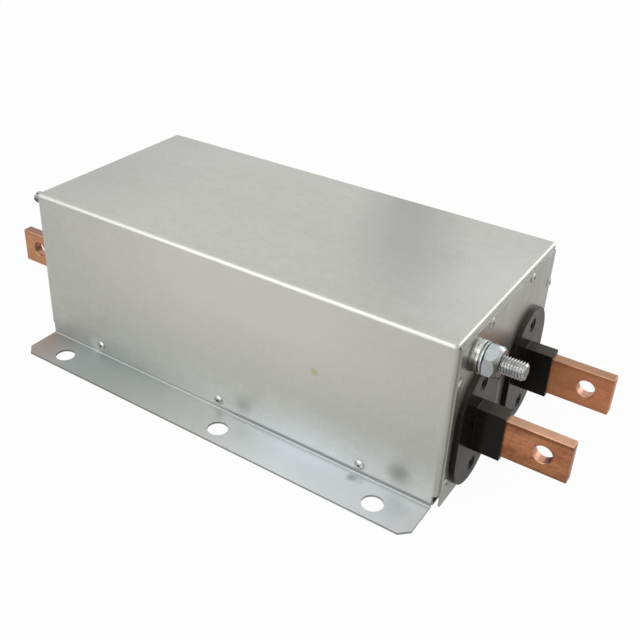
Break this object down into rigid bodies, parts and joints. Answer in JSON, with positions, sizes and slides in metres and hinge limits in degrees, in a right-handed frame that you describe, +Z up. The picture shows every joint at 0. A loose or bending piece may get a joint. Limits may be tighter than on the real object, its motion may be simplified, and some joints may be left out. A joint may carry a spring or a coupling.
{
  "type": "emi line filter",
  "caption": "EMI line filter in a folded sheet-steel case with mounting flanges, copper busbar terminals in moulded insulators and a ground stud at each end.",
  "frame": {"origin": "centre of the mounting face, under the middle of the case", "axes": "+X along the case towards the load terminals, +Y away from the ground studs, +Z up from the mounting face"},
  "size_m": [0.418, 0.198, 0.109],
  "materials": {
    "galvanised_steel": "zinc-coated sheet, satin",
    "rivet_steel": "zinc-plated, satin",
    "black_moulding": "moulded, semi-gloss",
    "bar_copper": "drawn copper bar, satin",
    "tab_copper": "tinned-edge copper strip",
    "black_steel": "black oxide",
    "zinc_steel": "bright zinc plating",
    "core_ferrite": "coated core, matte",
    "board_laminate": "glass laminate board",
    "pad_rubber": "soft pad",
    "capacitor_case": "moulded case",
    "resistor_body": "coated"
  },
  "bodies": {
    "root": {"base_plate": "galvanised_steel", "blind_rivets": "rivet_steel", "choke_core_1": "core_ferrite", "choke_core_2": "core_ferrite", "choke_core_3": "core_ferrite", "choke_core_4": "core_ferrite", "core_pad": "pad_rubber", "discharge_resistor": "resistor_body", "front_busbar": "bar_copper", "front_ground_tab": "tab_copper", "front_y_capacitor": "capacitor_case", "front_y_tab": "tab_copper", "housing_cover": "galvanised_steel", "insulator_nuts": "zinc_steel", "insulator_screws": "black_steel", "line_barrier": "board_laminate", "line_end_plate": "galvanised_steel", "line_flat_washers": "zinc_steel", "line_front_insulator": "black_moulding", "line_front_x_tab": "tab_copper", "line_ground_nuts": "zinc_steel", "line_ground_spring_washer": "zinc_steel", "line_ground_stud": "zinc_steel", "line_rear_insulator": "black_moulding", "line_rear_x_tab": "tab_copper", "line_x_capacitor": "capacitor_case", "load_barrier": "board_laminate", "load_end_plate": "galvanised_steel", "load_front_insulator": "black_moulding", "load_front_x_tab": "tab_copper", "load_ground_collar": "zinc_steel", "load_ground_nut": "zinc_steel", "load_ground_spring_washer": "zinc_steel", "load_ground_stud": "zinc_steel", "load_rear_insulator": "black_moulding", "load_rear_x_tab": "tab_copper", "load_x_capacitor": "capacitor_case", "rear_busbar": "bar_copper", "rear_ground_tab": "tab_copper", "rear_y_capacitor": "capacitor_case", "rear_y_tab": "tab_copper", "tab_screws": "zinc_steel", "tie_rod_nuts": "zinc_steel", "tie_rods": "zinc_steel"}
  },
  "joints": []
}
